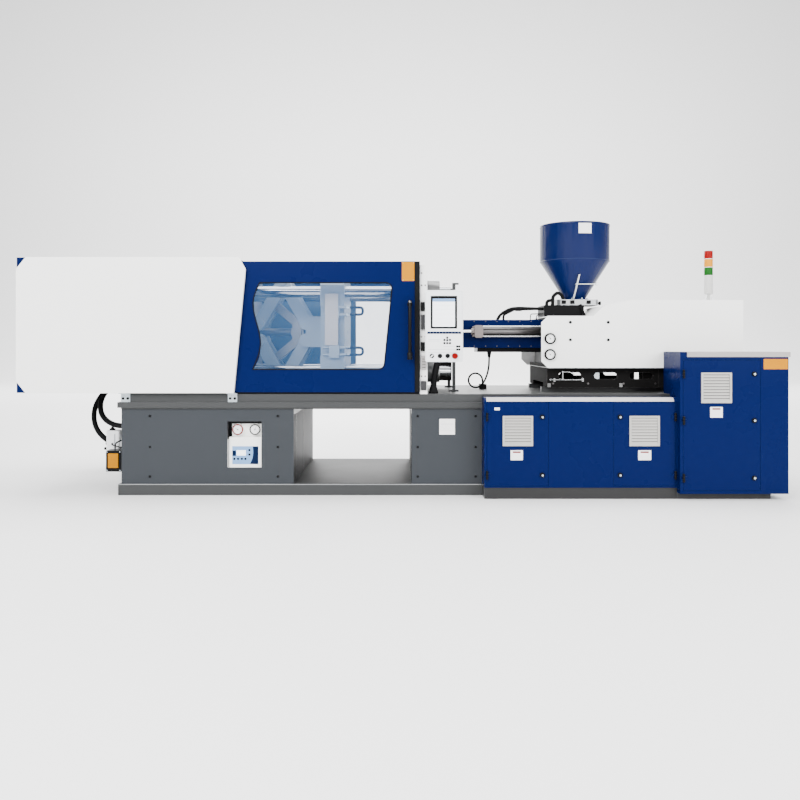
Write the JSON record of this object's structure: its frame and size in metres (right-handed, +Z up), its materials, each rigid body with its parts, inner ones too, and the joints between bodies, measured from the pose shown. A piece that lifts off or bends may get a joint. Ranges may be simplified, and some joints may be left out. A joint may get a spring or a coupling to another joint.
{
  "type": "injection moulding machine",
  "caption": "Horizontal injection moulding machine: toggle clamp with sliding gates, hopper, injection unit on a sliding carriage, grey bed, pump enclosure and cabinet.",
  "frame": {"origin": "centre of the machine's box, on the floor", "axes": "+X along the machine from the clamp to the injection unit, +Y away from the operator, +Z up"},
  "size_m": [4.902, 1.564, 1.859],
  "materials": {
    "grey_paint": "satin",
    "panel_grey": "satin",
    "blue_paint": "satin",
    "white_paint": "satin",
    "pale_grey_paint": "satin",
    "dark_casting": "painted",
    "platen_paint": "satin",
    "polished_steel": "polished",
    "machined_steel": "machined",
    "zinc": "zinc plated",
    "black_paint": "satin",
    "clear_pane": "clear",
    "white_plastic": "satin",
    "black_plastic": "satin",
    "yellow_plastic": "satin",
    "red_plastic": "gloss",
    "lens": "gloss",
    "black_rubber": "matt"
  },
  "bodies": {
    "bed": {"bed_frame": "grey_paint", "bed_panels": "panel_grey", "service_panel": "white_paint", "lubrication_pump": "white_plastic", "junction_box": "yellow_plastic", "stationary_platen": "platen_paint", "tail_platen": "platen_paint", "tie_bars": "polished_steel", "tie_bar_nuts": "machined_steel", "clamp_cylinder": "black_paint", "side_covers": "white_paint", "cover_hood": "blue_paint", "cover_brackets": "zinc", "gate_rails": "black_paint", "gate_posts": "white_paint", "pump_enclosure": "blue_paint", "electrical_cabinet": "blue_paint", "cabinet_lid": "pale_grey_paint", "panel_arm": "grey_paint", "traverse_rods": "polished_steel", "clamp_hose_lower": "black_rubber", "clamp_hose_upper": "black_rubber", "panel_cable": "black_rubber", "barrel_cable": "black_rubber"},
    "moving_platen": {"moving_platen": "platen_paint"},
    "ejector": {"ejector": "machined_steel"},
    "crosshead": {"crosshead": "machined_steel"},
    "rear_link_upper": {"rear_link_upper": "platen_paint"},
    "rear_link_lower": {"rear_link_lower": "platen_paint"},
    "front_links_upper": {"front_links_upper": "platen_paint"},
    "front_links_lower": {"front_links_lower": "platen_paint"},
    "crosshead_link_upper": {"crosshead_link_upper": "machined_steel"},
    "crosshead_link_lower": {"crosshead_link_lower": "machined_steel"},
    "front_gate": {"front_gate": "blue_paint", "front_gate_window": "clear_pane", "front_gate_handle": "black_plastic"},
    "rear_gate": {"rear_gate": "blue_paint", "rear_gate_window": "clear_pane"},
    "pump_door_left": {"pump_door_left": "blue_paint", "pump_vent_left": "white_plastic"},
    "pump_door_right": {"pump_door_right": "blue_paint", "pump_vent_right": "white_plastic"},
    "cabinet_door": {"cabinet_door": "blue_paint", "cabinet_vent": "white_plastic"},
    "control_panel": {"control_panel": "white_plastic"},
    "emergency_stop": {"emergency_stop": "red_plastic"},
    "start_button": {"start_button": "black_plastic"},
    "stop_button": {"stop_button": "black_plastic"},
    "carriage": {"carriage": "dark_casting", "injection_cover": "white_paint", "feed_housing": "black_paint", "hopper": "blue_paint", "hopper_lid": "blue_paint", "barrel": "machined_steel", "barrel_guard": "blue_paint", "traverse_cylinders": "black_paint", "pressure_gauges": "machined_steel", "tower_light": "lens"},
    "screw_drive": {"screw_drive": "machined_steel"},
    "screw": {"screw": "machined_steel"}
  },
  "joints": [
    {"name": "clamp", "type": "slide", "parent": "bed", "child": "moving_platen", "axis": [1, 0, 0], "range_m": [-0.2, 0.2]},
    {"name": "ejector_stroke", "type": "slide", "parent": "moving_platen", "child": "ejector", "axis": [1, 0, 0], "range_m": [0, 0.1]},
    {"name": "crosshead_stroke", "type": "slide", "parent": "bed", "child": "crosshead", "axis": [1, 0, 0], "range_m": [-0.08, 0.08]},
    {"name": "rear_link_upper_swing", "type": "hinge", "parent": "bed", "child": "rear_link_upper", "pos_m": [-0.982, 0, 1.126], "axis": [0, 1, 0], "range_deg": [-21, 21]},
    {"name": "rear_link_lower_swing", "type": "hinge", "parent": "bed", "child": "rear_link_lower", "pos_m": [-0.982, 0, 1.006], "axis": [0, -1, 0], "range_deg": [-21, 21]},
    {"name": "front_links_upper_swing", "type": "hinge", "parent": "moving_platen", "child": "front_links_upper", "pos_m": [-0.642, 0, 1.126], "axis": [0, -1, 0], "range_deg": [-21, 21]},
    {"name": "front_links_lower_swing", "type": "hinge", "parent": "moving_platen", "child": "front_links_lower", "pos_m": [-0.642, 0, 1.006], "axis": [0, 1, 0], "range_deg": [-21, 21]},
    {"name": "crosshead_link_upper_swing", "type": "hinge", "parent": "crosshead", "child": "crosshead_link_upper", "pos_m": [-0.72029, 0, 1.126], "axis": [0, -1, 0], "range_deg": [-10, 10]},
    {"name": "crosshead_link_lower_swing", "type": "hinge", "parent": "crosshead", "child": "crosshead_link_lower", "pos_m": [-0.72029, 0, 1.006], "axis": [0, 1, 0], "range_deg": [-10, 10]},
    {"name": "front_gate_slide", "type": "slide", "parent": "bed", "child": "front_gate", "axis": [-1, 0, 0], "range_m": [0, 0.95]},
    {"name": "rear_gate_slide", "type": "slide", "parent": "bed", "child": "rear_gate", "axis": [-1, 0, 0], "range_m": [0, 0.95]},
    {"name": "pump_door_left_hinge", "type": "hinge", "parent": "bed", "child": "pump_door_left", "pos_m": [0.563, -0.728, 0.347], "axis": [0, 0, -1], "range_deg": [0, 120]},
    {"name": "pump_door_right_hinge", "type": "hinge", "parent": "bed", "child": "pump_door_right", "pos_m": [1.749, -0.728, 0.347], "axis": [0, 0, 1], "range_deg": [0, 90]},
    {"name": "cabinet_door_hinge", "type": "hinge", "parent": "bed", "child": "cabinet_door", "pos_m": [1.785, -0.773, 0.47], "axis": [0, 0, -1], "range_deg": [0, 90]},
    {"name": "panel_swivel", "type": "hinge", "parent": "bed", "child": "control_panel", "pos_m": [0.291, -0.675, 1.1], "axis": [0, 0, 1], "range_deg": [-45, 45]},
    {"name": "emergency_stop_push", "type": "slide", "parent": "control_panel", "child": "emergency_stop", "axis": [0, 1, 0], "range_m": [0, 0.006], "stiffness_N_per_m": 400},
    {"name": "start_button_push", "type": "slide", "parent": "control_panel", "child": "start_button", "axis": [0, 1, 0], "range_m": [0, 0.004], "stiffness_N_per_m": 400},
    {"name": "stop_button_push", "type": "slide", "parent": "control_panel", "child": "stop_button", "axis": [0, 1, 0], "range_m": [0, 0.004], "stiffness_N_per_m": 400},
    {"name": "injection_unit_slide", "type": "slide", "parent": "bed", "child": "carriage", "axis": [1, 0, 0], "range_m": [0, 0.25]},
    {"name": "injection_stroke", "type": "slide", "parent": "carriage", "child": "screw_drive", "axis": [1, 0, 0], "range_m": [0, 0.18]},
    {"name": "screw_turn", "type": "hinge", "parent": "screw_drive", "child": "screw", "pos_m": [1.4, 0, 1.066], "axis": [1, 0, 0], "continuous": true}
  ],
  "couplings": [
    {"joint": "crosshead_stroke", "follows": "clamp", "ratio": 0.364},
    {"joint": "rear_link_upper_swing", "follows": "clamp", "rad_per_m": 1.7453},
    {"joint": "rear_link_lower_swing", "follows": "clamp", "rad_per_m": 1.7453},
    {"joint": "front_links_upper_swing", "follows": "clamp", "rad_per_m": 1.7453},
    {"joint": "front_links_lower_swing", "follows": "clamp", "rad_per_m": 1.7453},
    {"joint": "crosshead_link_upper_swing", "follows": "clamp", "rad_per_m": 0.8},
    {"joint": "crosshead_link_lower_swing", "follows": "clamp", "rad_per_m": 0.8}
  ]
}
